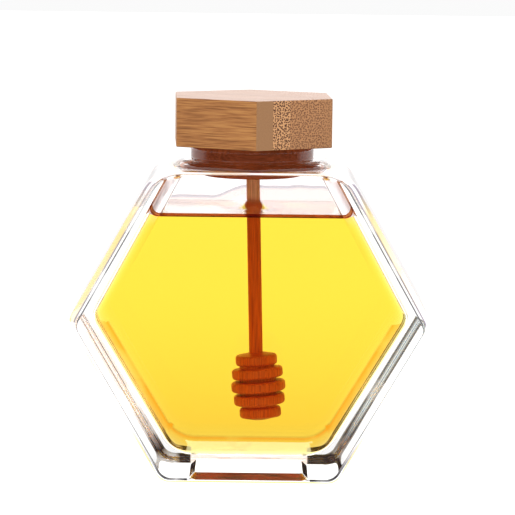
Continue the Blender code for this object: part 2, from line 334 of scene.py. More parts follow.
def makeGlassMaterial(name, ior, wet):
    # pressed soda-lime glass, clear and fire-polished, with the faint ripple that the mould leaves in its
    # flat faces; the sharp lines where it turns a corner are painted reflections, which also glow as painted
    # light
    material, add = newMaterial(name)
    place = add("TexCoord").outputs["Object"]
    scale = 1 / glassLook["rippleSize"]
    ripple = add("TexNoise", {"Vector": place, "Scale": scale, "Detail": 1.0})
    bump = add("Bump", {"Height": ripple, "Strength": 1.0, "Distance": glassLook["rippleHeight"]})
    # painted reflections: the edges get colors that stand in for what they mirror, in lines that are broken
    # here and there
    tone = add("Attribute", attribute_name="paintedEdgeTone")
    broken = add("TexNoise", {"Vector": place, "Scale": scale, "Detail": 3.0})
    uneven = add("MapRange", {
        "Value": broken, "From Min": glassLook["breakFrom"], "From Max": glassLook["breakTo"],
        "To Min": glassLook["breakLeast"],
    })
    crisp = add("MapRange", {
        "Value": tone.outputs["Alpha"], "From Min": glassLook["showFrom"], "From Max": glassLook["showAll"],
    })
    strength = add("Math", [crisp, uneven], operation="MULTIPLY")
    # a Mix node for colors takes them at 6 and 7, and gives the mix at 2
    tint = add("Mix", {0: strength, 6: "#FFFFFF", 7: tone}, data_type="RGBA").outputs[2]
    cover = 1.0
    if wet:
        # the painted tones only color the light that passes, except a pale one near the floor of the honey
        paleness = add("SeparateColor", {"Color": tone}).outputs["Green"]
        cover = add("MapRange", {
            "Value": paleness, "From Min": glassLook["paleFrom"], "From Max": glassLook["paleTo"],
            "To Max": glassLook["paleCover"],
        })
    covered = add("Math", [strength, cover], operation="MULTIPLY")
    clear = add("Math", [1.0, covered], operation="SUBTRACT")
    # painted glow: the edge tones give off light of their own, so that they look lit
    glow = add("Math", [covered, glassLook["paintedEdgeGlow"]], operation="MULTIPLY")
    shader = add("BsdfPrincipled", {
        "Base Color": tint, "Roughness": 0.0, "IOR": ior, "Transmission Weight": clear,
        "Emission Color": tone, "Emission Strength": glow, "Normal": bump,
    })
    add("OutputMaterial", {"Surface": shader})
    return material


def makeFootMaterial():
    # the slanting sides of the recess under the base mirror the wood above, through all of the honey; this
    # reflection is painted: a dark red-brown bar, cloudy along its length
    material, add = newMaterial("glassPaintedWoodReflection")
    stops = [(0.35, glassLook["footDark"]), (0.65, glassLook["foot"])]
    color = cloudedColors(add, glassLook["footCloud"], 2.0, stops)[1]
    shader = add("BsdfPrincipled", {
        "Base Color": color, "Roughness": 0.3, "IOR": glassLook["ior"], "Transmission Weight": 0.1,
    })
    add("OutputMaterial", {"Surface": shader})
    return material


# colors painted on the rounded glass edges: painted reflections of the dark room, the honey and the wood
paintedEdgeColors = {
    "black": "#242023", "violet": "#6E6474", "steel": "#9CA4A8", "straw": "#C2B074", "ochre": "#9C7448",
    "amber": "#FFA23C", "gold": "#FFD28A", "rust": "#B98064", "umber": "#6A4A3C", "pale": "#EFEAEC",
    "apricot": "#FFBE78", "cream": "#FFDCB4", "slate": "#62686C", "frost": "#D2E6F2", "lemon": "#FFF6B4",
}
# the painted dark lines that the upper edges begin with
upperStart = [(20, "black", 1.0, 9), (32, "violet", 1.0, 27)]
# the painted reflections across a rounded edge, from the flat face at 0 degrees to the side at 90: the turn
# up to which a tone goes, its name and strength, and for a thin line the turn at its middle
paintedEdgeBands = {
    "hollowBack": [(90, "rust", 0.0)],
    "hollowTop": [(70, "pale", 0.0), (90, "rust", 1.0, 81)],
    "hollowAir": [(70, "pale", 0.85), (90, "rust", 1.0, 81)],
    "hollowUpper": [(70, "gold", 0.0), (90, "rust", 1.0, 81)],
    "hollowLower": [(14, "amber", 0.95), (32, "apricot", 0.90), (70, "cream", 0.75), (90, "rust", 0.65, 81)],
    "hollowFloor": [(14, "amber", 0.90), (70, "lemon", 0.90), (90, "rust", 0.65, 81)],
    "hollowFloorEnd": [(14, "amber", 0.90), (70, "cream", 0.75), (90, "rust", 0.65, 81)],
    "footMiddle": [(90, "pale", 0.0)],
    "footMiddleBack": [(90, "pale", 0.9)],
    "foot": [(30, "black", 1.0), (90, "black", 0.3)],
    "footBack": [(90, "black", 1.0)],
    "top": [(20, "umber", 0.8, 9), (90, "pale", 0.85)],
    "topBack": [(90, "umber", 0.0)],
    "upperBack": [(90, "black", 0.0)],
    "upperAir": upperStart + [(50, "pale", 0.85), (90, "violet", 0.80)],
    "upper": upperStart + [(75, "straw", 1.0), (90, "ochre", 1.0)],
    "upperEndLeft": upperStart + [(75, "straw", 0.6), (90, "ochre", 0.7)],
    "upperEndRight": upperStart + [(75, "pale", 0.85), (90, "ochre", 0.7)],
    "lowerBackRight": [
        (14, "slate", 0.5), (32, "slate", 1.0), (50, "steel", 1.0), (68, "frost", 1.0), (90, "slate", 1.0),
    ],
    "lowestBackRight": [(14, "umber", 0.5), (68, "umber", 1.0), (90, "slate", 1.0)],
    "lowerBackLeft": [(31, "pale", 0.9), (41, "black", 1.0), (75, "pale", 0.9), (90, "pale", 0.5)],
    "lowestBackLeft": [(22, "pale", 0.9), (50, "black", 1.0), (75, "pale", 0.9), (90, "pale", 0.5)],
    "lowerLeft": [(4, "pale", 0.0), (14, "black", 0.85), (20, "pale", 0.0), (90, "pale", 0.85)],
    "lowerRight": [(20, "pale", 0.0), (67, "pale", 0.85), (77, "black", 0.85), (90, "pale", 0.85)],
}
# the heights and half widths where one stretch of an edge ends and the next begins
edgeLimits = {
    "footTop": 0.004, "footMiddle": (glassLook["clearFoot"] + glassLook["clearFootEnd"]) / 2,
    "lowestTop": 0.010, "airFrom": contactZ + 0.0005, "topFrom": jarShape["topZ"] - 0.003,
    "upperEnd": jarShape["sideZ"] + jarShape["sideRadius"],
    "floorTop": hollowShape["baseZ"] + hollowShape["edgeRoundings"][4] + 0.001, "floorMiddle": 0.0196,
    "hollowTopFrom": hollowShape["topZ"] - 0.0015,
    "shoulder": neckShape["radius"] + neckShape["foot"] + neckShape["shoulderReach"],
    "lineSpread": 5,           # degrees
}


def insideHollow(point, margin=0.0004):
    if abs(point.y) > hollowShape["depth"] / 2 + margin:
        return False
    corners = movedIn(hexCorners(hollowShape), [-margin] * 6)
    for i, (x, z) in enumerate(corners):
        nextX, nextZ = corners[(i + 1) % 6]
        if (nextX - x) * (point.z - z) - (nextZ - z) * (point.x - x) < 0:
            return False
    return True


def hollowStretch(place):
    if place.y > 0:
        return "hollowBack"
    if place.z >= edgeLimits["hollowTopFrom"]:
        return "hollowTop"
    if place.z > contactZ:
        return "hollowAir"
    if place.z > jarShape["sideZ"]:
        return "hollowUpper"
    if place.z >= edgeLimits["floorTop"]:
        return "hollowLower"
    # over the floor the honey gets thin, and the painted tone pale
    return "hollowFloor" if abs(place.x) < edgeLimits["floorMiddle"] else "hollowFloorEnd"


def outerStretch(place):
    back = "Back" if place.y > 0 else ""
    side = "Right" if place.x > 0 else "Left"
    if place.z < edgeLimits["footTop"]:
        middle = "Middle" if abs(place.x) < edgeLimits["footMiddle"] else ""
        return "foot" + middle + back
    if place.z > edgeLimits["topFrom"]:
        return "top" + back
    if place.z > jarShape["sideZ"]:
        if back:
            return "upperBack"
        if place.z > edgeLimits["airFrom"]:
            return "upperAir"
        # the painted yellow runs out towards the side corners
        return "upperEnd" + side if place.z < edgeLimits["upperEnd"] else "upper"
    lowest = back and place.z < edgeLimits["lowestTop"]
    return ("lowest" if lowest else "lower") + back + side


def paintedEdgeToneAt(place):
    # the painted reflection tone of the glass at this point and how strong it is
    nearZero = 0.0001
    onNeck = math.hypot(place.x, place.y) < edgeLimits["shoulder"] + nearZero
    if onNeck and place.z > jarShape["topZ"] - nearZero:
        return "umber", 0.0
    hollow = insideHollow(place)
    shape = hollowShape if hollow else jarShape
    inward = (shape["depth"] / 2 - abs(place.y)) / shape["edgeReach"]
    turn = math.degrees(math.acos(clamped(1 - inward)))
    if inward > 1 + nearZero or turn < 1 or turn > 89:
        return "black", 0.0
    stretch = hollowStretch(place) if hollow else outerStretch(place)
    for limit, tone, strength, *middle in paintedEdgeBands[stretch]:
        if turn < limit:
            if middle:
                strength *= math.exp(-((turn - middle[0]) / edgeLimits["lineSpread"]) ** 2)
            return tone, strength


def cutWith(target, work, operation):
    tool = newObject("tool", toMesh("tool", work))
    modifier = target.modifiers.new("cut", "BOOLEAN")
    modifier.object = tool
    modifier.operation = operation
    modifier.solver = "EXACT"
    return tool


def neckWork():
    top, reach, height = jarShape["topZ"], neckShape["shoulderReach"], neckShape["shoulderHeight"]
    radius, lip, foot = neckShape["radius"], neckShape["lip"], neckShape["foot"]
    shoulder = arcPoints((radius + foot, top), reach, height, 0, 90)
    hollowFoot = arcPoints((radius + foot, top + height + foot), foot, foot, 270, 180)
    lipEdge = arcPoints((radius - lip, neckShape["topZ"] - lip), lip, lip, 0, 90)
    inside = (top + hollowShape["topZ"]) / 2
    start = [(0, inside), (radius + foot + reach, inside)]
    profile = start + shoulder + hollowFoot[1:] + lipEdge + [(0, neckShape["topZ"])]
    return turnedWork(profile, neckShape["steps"])


def boreWork():
    below = hollowShape["topZ"] - overrun
    above = neckShape["topZ"] + overrun
    profile = [(0, below), (neckShape["bore"], below), (neckShape["bore"], above), (0, above)]
    return turnedWork(profile, neckShape["steps"])


def recessWork():
    x, y = recessShape["halfWidth"], recessShape["halfDepth"]
    corners = [(x, -y), (x, y), (-x, y), (-x, -y)]
    radii = [recessShape["corner"]] * 4
    runBelow = -recessShape["slopeRun"] * overrun / recessShape["height"]
    rings = []
    for z, inset in ((-overrun, runBelow), (recessShape["height"], recessShape["slopeRun"])):
        rings.append([(px, py, z) for px, py in roundedOutline(corners, radii, inset)])
    work = bmesh.new()
    skinRings(work, rings)
    return work


def onRecessSlope(centre, normal):
    # on the long sides of the recess, away from its rim and its roof
    edge = recessShape["edge"]
    inHeight = edge < centre.z < recessShape["height"] - edge
    inWidth = abs(centre.x) < recessShape["halfWidth"]
    inDepth = abs(centre.y) < recessShape["halfDepth"]
    return inHeight and inWidth and inDepth and abs(normal.y) > abs(normal.x)


def makeJar():
    blank = newObject("blank", toMesh("blank", slabWork(jarShape)))
    tools = [cutWith(blank, neckWork(), "UNION")]
    for work in (slabWork(hollowShape), boreWork(), recessWork()):
        tools.append(cutWith(blank, work, "DIFFERENCE"))
    mesh = evaluatedMesh("jarGlass", blank)
    for tool in tools:
        bpy.data.objects.remove(tool)
    work = bmesh.new()
    work.from_mesh(mesh)
    # below the contact line the glass is wet, and the light passes from glass to honey
    for z in (contactZ, glassLook["lowCut"]):
        sliceAt(work, (0, 0, z), (0, 0, 1))
    for x in (glassLook["clearFoot"], glassLook["clearFootEnd"]):
        for side in (-1, 1):
            low = [
                face for face in work.faces if max(vert.co.z for vert in face.verts) < glassLook["footFaces"]
            ]
            sliceAt(work, (side * x, 0, 0), (1, 0, 0), low)
    mesh.materials.clear()
    mesh.materials.append(makeGlassMaterial("pressedGlass", glassLook["ior"], False))
    mesh.materials.append(makeGlassMaterial("pressedGlassWet", glassLook["wetIor"], True))
    mesh.materials.append(makeFootMaterial())
    for face in work.faces:
        centre = face.calc_center_median()
        if onRecessSlope(centre, face.normal):
            face.material_index = 2
        else:
            face.material_index = 1 if centre.z < contactZ and insideHollow(centre) else 0
    work.to_mesh(mesh)
    work.free()
    # each point of the glass gets its painted reflection tone
    tones = mesh.attributes.new("paintedEdgeTone", "FLOAT_COLOR", "POINT")
    for vert, value in zip(mesh.vertices, tones.data):
        tone, strength = paintedEdgeToneAt(vert.co)
        value.color = linearColor(paintedEdgeColors[tone], strength)
    smoothFaces(mesh, 40)
    # big flat faces keep their own direction, and the roundings between them blend
    flats = addPiece("jarGlass", mesh, "glass", "jar").modifiers.new("flats", "WEIGHTED_NORMAL")
    flats.weight = 100
    flats.keep_sharp = True


def honeyWork(inset, sink=0.0):
    # the slab of the hollow cut at the contact line, with a surface that climbs the glass and the stick
    work = slabWork(hollowShape, inset)
    sliceAt(work, (0, 0, contactZ - sink), (0, 0, 1), clearOuter=True)
    for edge in [edge for edge in work.edges if edge.is_boundary]:
        cuts = int(edge.calc_length() / honeyLook["rimSpacing"])
        if cuts:
            bmesh.ops.subdivide_edges(work, edges=[edge], cuts=cuts)
    rimVerts = {vert for edge in work.edges if edge.is_boundary for vert in edge.verts}
    depth, stickRadius = hollowShape["depth"], dipperLook["Stick Radius"]
    centre = stickCentre(honeyLevel)
    ordered = sorted(rimVerts, key=lambda vert: math.atan2(vert.co.y - centre.y, vert.co.x - centre.x))
    ring = ordered
    count = len(ordered)
    for step in range(1, honeyLook["rings"] + 1):
        share = step / honeyLook["rings"]
        eased = (1 - math.cos(math.pi * share)) / 2   # close rings at the glass and at the stick
        nextRing = []
        for vert in ordered:
            angle = math.atan2(vert.co.y - centre.y, vert.co.x - centre.x)
            outward = Vector((math.cos(angle), math.sin(angle), 0))
            place = vert.co.lerp(centre + outward * (stickRadius - honeyLook["intoStick"]), eased)
            wallGap = min(depth / 2 - inset - abs(place.y), wallX(honeyLevel) - inset - abs(place.x))
            stickGap = math.hypot(place.x - centre.x, place.y - centre.y) - stickRadius
            forward = clamped(0.5 - place.y / depth * honeyLook["climbLean"])
            climb = honeyLook["climb"] * forward * math.exp(-max(wallGap, 0) / honeyLook["climbRun"])
            climb += honeyLook["stickClimb"] * math.exp(-max(stickGap, 0) / honeyLook["stickRun"])
            nextRing.append(work.verts.new((place.x, place.y, honeyLevel + climb - sink)))
        for i in range(count):
            j = (i + 1) % count
            work.faces.new((ring[i], ring[j], nextRing[j], nextRing[i]))
        ring = nextRing
    work.faces.new(ring)
    bmesh.ops.recalc_face_normals(work, faces=work.faces)
    return work


def makeHoneyMaterial(name, finish, colored):
    # clear acacia honey: yellow where it is thin, orange where the light goes a long way through it
    material, add = newMaterial(name)
    shader = add("BsdfPrincipled", {"Base Color": "#FFFFFF", "Transmission Weight": 1.0, **finish})
    parts = {"Surface": shader}
    if colored:
        parts["Volume"] = add("VolumeAbsorption", {
            "Color": honeyLook["color"], "Density": honeyLook["density"],
        })
    add("OutputMaterial", parts)
    return material


def makeHoney():
    # two shells, one in the other: the outer one bends and mirrors the light, the inner one colors it
    surface = toMesh("honeySurface", honeyWork(-honeyLook["intoWall"]))
    # glass and honey bend light nearly alike, so only the still top shows, as a soft mirror
    surface.materials.append(makeHoneyMaterial("honeyAtGlass", honeyLook["plain"], False))
    surface.materials.append(makeHoneyMaterial("honeyAtAir", honeyLook["still"], False))
    lowest = honeyLevel - honeyLook["topFrom"]
    for face in surface.polygons:
        onTop = face.center.z > lowest and face.normal.z > honeyLook["topSlope"]
        face.material_index = 1 if onTop else 0
    smoothFaces(surface, 60)
    addPiece("honeySurface", surface, "honey", "honey")
    body = toMesh("honeyBody", honeyWork(-honeyLook["intoWall"] / 2, honeyLook["bodySink"]))
    body.materials.append(makeHoneyMaterial("honeyBody", honeyLook["plain"], True))
    smoothFaces(body, 60)
    addPiece("honeyBody", body, "honey")


def sheetMesh(name, rows, columns, pairAt):
    # two grids of points that face each other, joined round their border into one closed sheet; pairAt
    # gives both points, and a film's third value is how deep its color is there
    pairs = [pairAt(row, column) for row in range(rows) for column in range(columns)]
    half = len(pairs)
    faces = []
    for r in range(rows - 1):
        for c in range(columns - 1):
            here = r * columns + c
            quad = (here, here + 1, here + columns + 1, here + columns)
            faces.append(quad)
            faces.append(tuple(half + i for i in reversed(quad)))
    border = list(range(columns)) + [r * columns + columns - 1 for r in range(1, rows)]
    border += [(rows - 1) * columns + c for c in range(columns - 2, -1, -1)]
    border += [r * columns for r in range(rows - 2, 0, -1)]
    for i, here in enumerate(border):
        after = border[(i + 1) % len(border)]
        faces.append((after, here, half + here, half + after))
    mesh = bpy.data.meshes.new(name)
    mesh.from_pydata([pair[0] for pair in pairs] + [pair[1] for pair in pairs], [], faces)
    work = bmesh.new()
    work.from_mesh(mesh)
    bmesh.ops.recalc_face_normals(work, faces=work.faces)
    work.to_mesh(mesh)
    work.free()
    if len(pairs[0]) > 2:
        depths = mesh.attributes.new("depth", "FLOAT", "POINT")
        for i, value in enumerate(depths.data):
            value.value = pairs[i % half][2]
    smoothFaces(mesh, 60)
    return mesh


# what the honey left on the walls above its level when the jar was last tilted
filmLook = {
    "thickness": 0.0003, "edgeThickness": 0.0007, "edgeWidth": 0.0009, "edgeTaper": 0.0003,
    "lowZ": 0.0847, "highZ": 0.0881, "riseFrom": -0.0150, "riseTo": -0.0020, "waves": 0.00016,
    "underLevel": 0.0004, "columns": 120, "rows": 18,
    "paintedEdgeShade": "#CDC5CA", "backColor": "#F6E6E2", "sideColor": "#A06A48",
    # the first color is the painted shade of the line along the film's upper edge
    "startColor": "#F4F0F2", "endColor": "#FFFDFC", "cloudSize": 0.004, "cloudShare": 0.10,
    "edgeRun": 0.0011, "edgeDepth": 0.34,            # the dark line at the edge, then the film fades out
    "fadeLeft": 0.0033, "fadeMoreRight": 0.0060, "fadeChange": 0.006,
    "sideInset": 0.0050, "sideTop": 0.0936, "sideBottom": 0.0002, "sideColumns": 16, "sideRows": 12,
    "sideDepth": 0.35, "sideRim": 0.3,
}


def filmEdge(x):
    # the wavy upper limit of the film on the back wall
    share = clamped((x - filmLook["riseFrom"]) / (filmLook["riseTo"] - filmLook["riseFrom"]))
    rise = share * share * (3 - 2 * share)
    ripple = math.sin(x * 310 + 2.0) + 0.5 * math.sin(x * 740 + 1.0)
    return filmLook["lowZ"] + (filmLook["highZ"] - filmLook["lowZ"]) * rise + filmLook["waves"] * ripple


def makeFilmMaterial(name, deepColor, paintedEdgeShade):
    # a wet trace of honey, so thin that it only tints the glass; at its edge it gathers in a bead, and the
    # darker line along that bead is painted shade
    material, add = newMaterial(name)
    depth = add("Attribute", attribute_name="depth").outputs["Fac"]
    place = add("TexCoord").outputs["Object"]
    scale = 1 / filmLook["cloudSize"]
    share = filmLook["cloudShare"]
    cloud = add("TexNoise", {"Vector": place, "Scale": scale, "Detail": 2.0})
    spread = add("Math", [cloud, share, -share / 2], operation="MULTIPLY_ADD")
    uneven = add("Math", [depth, spread], operation="ADD")
    color = add("ValToRGB", {"Fac": uneven}, [
        (0.00, filmLook["startColor"]), (0.10, paintedEdgeShade), (0.24, paintedEdgeShade),
        (0.38, deepColor), (0.80, deepColor), (1.00, filmLook["endColor"]),
    ])
    shader = add("BsdfPrincipled", {
        "Base Color": color, "Roughness": 0.0, "IOR": 1.2, "Transmission Weight": 1.0,
    })
    add("OutputMaterial", {"Surface": shader})
    return material


def backFilmPair(row, column):
    wallY = hollowShape["depth"] / 2
    bottom = honeyLevel - filmLook["underLevel"]
    across = 2 * column / filmLook["columns"] - 1
    top = filmEdge(across * wallX(filmLook["highZ"]))
    share = row / filmLook["rows"]
    z = top + (bottom - top) * share * share      # rows lie closer at the upper edge
    x = across * (wallX(z) - hollowShape["edgeRoundings"][0])
    below = top - z
    halfEdge = filmLook["edgeWidth"] / 2
    bead = math.exp(-((below - halfEdge) / halfEdge) ** 2)
    thickness = filmLook["thickness"] * min(below / filmLook["edgeTaper"], 1.0)
    thickness += (filmLook["edgeThickness"] - filmLook["thickness"]) * bead
    # the left half fades out downwards, the right half stays even
    rightShare = clamped(0.5 + x / filmLook["fadeChange"])
    fade = filmLook["fadeLeft"] + filmLook["fadeMoreRight"] * rightShare
    pastEdge = max(below - filmLook["edgeRun"], 0.0) / fade
    edgeDepth = filmLook["edgeDepth"]
    depth = min(edgeDepth * below / filmLook["edgeRun"], edgeDepth + (1 - edgeDepth) * pastEdge, 1.0)
    return (x, wallY + honeyLook["intoWall"], z), (x, wallY - thickness, z), max(depth, 0.0)


def makeBackFilm():
    mesh = sheetMesh("backFilm", filmLook["rows"] + 1, filmLook["columns"] + 1, backFilmPair)
    mesh.materials.append(makeFilmMaterial("honeyFilm", filmLook["backColor"], filmLook["paintedEdgeShade"]))
    addPiece("backFilm", mesh, "honey")


def makeSideFilm(name, side):
    # the slanting side wall keeps a thicker, browner trace
    halfY = hollowShape["depth"] / 2 - filmLook["sideInset"]
    bottom, top = honeyLevel + filmLook["sideBottom"], filmLook["sideTop"]
    rows, columns = filmLook["sideRows"], filmLook["sideColumns"]

    def pairAt(row, column):
        z = top + (bottom - top) * row / rows
        y = halfY * (2 * column / columns - 1)
        # thin along the rim of the film
        rim = min(row, rows - row, 2) / 2 * min(column, columns - column, 2) / 2
        thickness = filmLook["thickness"] * (filmLook["sideRim"] + (1 - filmLook["sideRim"]) * rim)
        outerX = wallX(z) + 2 * honeyLook["intoWall"]
        return (side * outerX, y, z), (side * (wallX(z) - thickness), y, z), filmLook["sideDepth"]

    mesh = sheetMesh(name, rows + 1, columns + 1, pairAt)
    mesh.materials.append(makeFilmMaterial(name + "Honey", filmLook["sideColor"], filmLook["sideColor"]))
    addPiece(name, mesh, "honey")


rimLook = {
    "height": 0.0011, "thickness": 0.0004, "sink": 0.0002, "slant": 0.52,
    "sideRise": 0.0016, "riseRun": 0.010,            # along the sides it climbs towards the back
    "sideLength": 0.024, "sideSteps": 8, "cornerSteps": 12, "rows": 7,
    # the painted shade of the rim: its dark amber, with a paler amber clouded through it
    "color": "#9B4310", "pale": "#B85A22", "cloudSize": 0.006,
}


def rimPath():
    # the line round the front of the hollow where the honey ends, from the right side to the left
    reach, rounding = hollowShape["edgeReach"], hollowShape["edgeRoundings"][0]
    frontY = -hollowShape["depth"] / 2
    wall = wallX(honeyLevel)
    count = rimLook["sideSteps"]
    side = [(wall, frontY + reach + (1 - i / count) * rimLook["sideLength"]) for i in range(count)]
    for step in range(rimLook["cornerSteps"] + 1):
        angle = math.pi / 2 * (1 - step / rimLook["cornerSteps"])
        side.append((wall - rounding * (1 - math.sin(angle)), frontY + reach * (1 - math.cos(angle))))
    return side + [(-x, y) for x, y in reversed(side)]


def makeHoneyRim():
    # the line where the honey meets the front glass is thick; seen end on it is deep amber, and that dark
    # amber is painted shade
    path = rimPath()
    rows = rimLook["rows"]
    frontY = -hollowShape["depth"] / 2
    intoWall = honeyLook["intoWall"]

    def pairAt(row, i):
        x, y = path[i]
        beforeX, beforeY = path[max(i - 1, 0)]
        afterX, afterY = path[min(i + 1, len(path) - 1)]
        length = math.hypot(afterX - beforeX, afterY - beforeY)
        inX, inY = -(afterY - beforeY) / length, (afterX - beforeX) / length
        if inX * x > 0 or (abs(inX) < 0.1 and inY < 0):
            inX, inY = -inX, -inY
        rise = rimLook["sideRise"] * clamped((y - frontY) / rimLook["riseRun"])
        z = honeyLevel - rimLook["sink"] + rise + rimLook["height"] * row / (rows - 1)
        slant = (honeyLevel - z) * abs(inX) * rimLook["slant"] * (1 if x > 0 else -1)
        bulge = rimLook["thickness"] * math.sin(math.pi * (row + 0.5) / rows)
        x += slant
        return (x - inX * intoWall, y - inY * intoWall, z), (x + inX * bulge, y + inY * bulge, z)

    mesh = sheetMesh("honeyRim", rows, len(path), pairAt)
    material, add = newMaterial("honeyEdgePaintedShade")
    stops = [(0.2, rimLook["color"]), (0.9, rimLook["pale"])]
    color = cloudedColors(add, [rimLook["cloudSize"]] * 3, 2.0, stops)[1]
    shader = add("BsdfPrincipled", {
        "Base Color": color, "Roughness": 0.0, "IOR": 1.0, "Transmission Weight": 1.0,
    })
    add("OutputMaterial", {"Surface": shader})
    mesh.materials.append(material)
    addPiece("honeyRim", mesh, "honey")


# the inputs of the dipper's node tree
dipperLook = {
    "Joint X": 0.0019, "Joint Z": 0.0375,    # where the stick meets the head
    "Disc Count": 5, "Pitch": 0.0042, "Thickness": 0.0033, "Edge": 0.0010,
    "Radius": 0.00855, "Taper": 0.00050, "Middle": 2.0,    # each disc from the middle one out is smaller
    "Core Radius": 0.0055, "Stick Radius": 0.00215, "Cone": 0.0007,
    "Head Tilt": math.radians(-5.0), "Stick Tilt": math.radians(-1.6),
    "Wobble": math.radians(1.2), "Seed": 4,
}
dipperMesh = {
    "ringPoints": 72, "edgePoints": 5, "coreRows": 8, "stickPoints": 48, "stickRows": 60,
    "coreShorter": 0.0002, "coneTop": 1.15,      # the top of a cone is this many times as wide as the stick
    "stickEndGap": 0.0003,                       # the stick ends this far under the stopper
}


def stickCentre(z):
    # the middle of the leaning stick at height z
    rise = z - dipperLook["Joint Z"]
    return Vector((dipperLook["Joint X"] + rise * math.tan(dipperLook["Stick Tilt"]), 0.0, z))


def makeDipperTree(values, material):
    # discs on a core below the origin and the stick above it, then each leans its own way; each value
    # gets a named input, which the modifier takes by its identifier
    tree = bpy.data.node_groups.new("turnedDipper", "GeometryNodeTree")
    tree.interface.new_socket("Geometry", in_out="OUTPUT", socket_type="NodeSocketGeometry")
    keys = {}
    for label, value in values.items():
        kind = "NodeSocketInt" if isinstance(value, int) else "NodeSocketFloat"
        keys[label] = tree.interface.new_socket(label, in_out="INPUT", socket_type=kind).identifier
    add = partial(addNode, tree)
    given = add("NodeGroupInput").outputs
    thickness, radius, pitch = given["Thickness"], given["Radius"], given["Pitch"]
    half = add("Math", [thickness, 0.5], operation="MULTIPLY")

    # one disc: a rounded square swept round a ring
    inner = add("Math", [radius, half], operation="SUBTRACT")
    path = add("GeometryNodeCurvePrimitiveCircle", {"Resolution": dipperMesh["ringPoints"], "Radius": inner})
    square = add("GeometryNodeCurvePrimitiveQuadrilateral", {"Width": thickness, "Height": thickness})
    rounded = add("GeometryNodeFilletCurve", {
        "Curve": square, "Count": dipperMesh["edgePoints"], "Radius": given["Edge"],
    }, mode="POLY")
    disc = add("GeometryNodeCurveToMesh", {"Curve": path, "Profile Curve": rounded})

    # a row of discs, the middle one widest, each a little out of true
    startZ = add("Math", [half, -1.0], operation="MULTIPLY")
    stepZ = add("Math", [pitch, -1.0], operation="MULTIPLY")
    row = add("GeometryNodeMeshLine", {
        "Count": given["Disc Count"],
        "Start Location": add("CombineXYZ", {"Z": startZ}),
        "Offset": add("CombineXYZ", {"Z": stepZ}),
    })
    index = add("GeometryNodeInputIndex")
    away = add("Math", [index, given["Middle"]], operation="SUBTRACT")
    squared = add("Math", [away, away], operation="MULTIPLY")
    less = add("Math", [squared, given["Taper"]], operation="MULTIPLY")
    lessShare = add("Math", [less, radius], operation="DIVIDE")
    size = add("Math", [1.0, lessShare], operation="SUBTRACT")
    scale = add("CombineXYZ", {"X": size, "Y": size, "Z": 1.0})
    turn = add("FunctionNodeRandomValue", {
        "Min": (-1.0, -1.0, 0.0), "Max": (1.0, 1.0, 0.0), "Seed": given["Seed"],
    }, data_type="FLOAT_VECTOR")
    lean = add("VectorMath", {0: turn, "Scale": given["Wobble"]}, operation="SCALE")
    discs = add("GeometryNodeInstanceOnPoints", {
        "Points": row, "Instance": disc, "Rotation": lean, "Scale": scale,
    })

    # the core between them, with a low cone at each end
    last = add("Math", [given["Disc Count"], 1.0], operation="SUBTRACT")
    length = add("Math", [last, pitch, thickness], operation="MULTIPLY_ADD")
    depth = add("Math", [length, dipperMesh["coreShorter"]], operation="SUBTRACT")
    core = add("GeometryNodeMeshCylinder", {
        "Vertices": dipperMesh["ringPoints"], "Side Segments": dipperMesh["coreRows"],
        "Radius": given["Core Radius"], "Depth": depth,
    }, fill_type="TRIANGLE_FAN")
    middleZ = add("Math", [length, -0.5], operation="MULTIPLY")
    coreSet = add("GeometryNodeTransform", {
        "Geometry": core, "Translation": add("CombineXYZ", {"Z": middleZ}),
    })
    coneTop = add("Math", [given["Stick Radius"], dipperMesh["coneTop"]], operation="MULTIPLY")
    foot = add("GeometryNodeMeshCone", {
        "Vertices": dipperMesh["ringPoints"], "Radius Top": coneTop, "Radius Bottom": given["Core Radius"],
        "Depth": given["Cone"],
    }, fill_type="TRIANGLE_FAN")
    bottomZ = add("Math", [length, -1.0], operation="MULTIPLY")
    footBelow = add("GeometryNodeTransform", {
        "Geometry": foot, "Translation": add("CombineXYZ", {"Z": bottomZ}),
        "Rotation": (math.pi, 0.0, 0.0),
    })
    head = add("GeometryNodeJoinGeometry")
    for part in (discs, coreSet, foot, footBelow):
        tree.links.new(part.outputs[0], head.inputs["Geometry"])
    headSet = add("GeometryNodeTransform", {
        "Geometry": head, "Rotation": add("CombineXYZ", {"Y": given["Head Tilt"]}),
    })

    # the stick
    stick = add("GeometryNodeMeshCylinder", {
        "Vertices": dipperMesh["stickPoints"], "Side Segments": dipperMesh["stickRows"],
        "Radius": given["Stick Radius"], "Depth": given["Stick Length"],
    }, fill_type="TRIANGLE_FAN")
    stickZ = add("Math", [given["Stick Length"], 0.5], operation="MULTIPLY")
    stickUp = add("GeometryNodeTransform", {
        "Geometry": stick, "Translation": add("CombineXYZ", {"Z": stickZ}),
    })
    stickSet = add("GeometryNodeTransform", {
        "Geometry": stickUp, "Rotation": add("CombineXYZ", {"Y": given["Stick Tilt"]}),
    })

    whole = add("GeometryNodeJoinGeometry")
    for part in (headSet, stickSet):
        tree.links.new(part.outputs[0], whole.inputs["Geometry"])
    joint = add("CombineXYZ", {"X": given["Joint X"], "Z": given["Joint Z"]})
    placed = add("GeometryNodeTransform", {"Geometry": whole, "Translation": joint})
    real = add("GeometryNodeRealizeInstances", {"Geometry": placed})
    painted = add("GeometryNodeSetMaterial", {"Geometry": real, "Material": material})
    add("NodeGroupOutput", {"Geometry": painted})
    return tree, keys


# dark and light, wet and then dry, as the stick is above dryFrom; the grain runs along axis 0 or 2
woodLook = {
    "dipper": {
        "tones": [("#B43C10", "#E66224"), ("#D88C56", "#FFBE86")], "dryFrom": 0.0875, "dryRun": 0.0035,
        "fibre": 0.00035, "run": 0.012, "along": 2, "gloss": 0.5,
    },
    "stopper": {"tones": [("#8C3E1C", "#C46034")], "fibre": 0.0005, "run": 0.014, "along": 0, "gloss": 0.05},
}


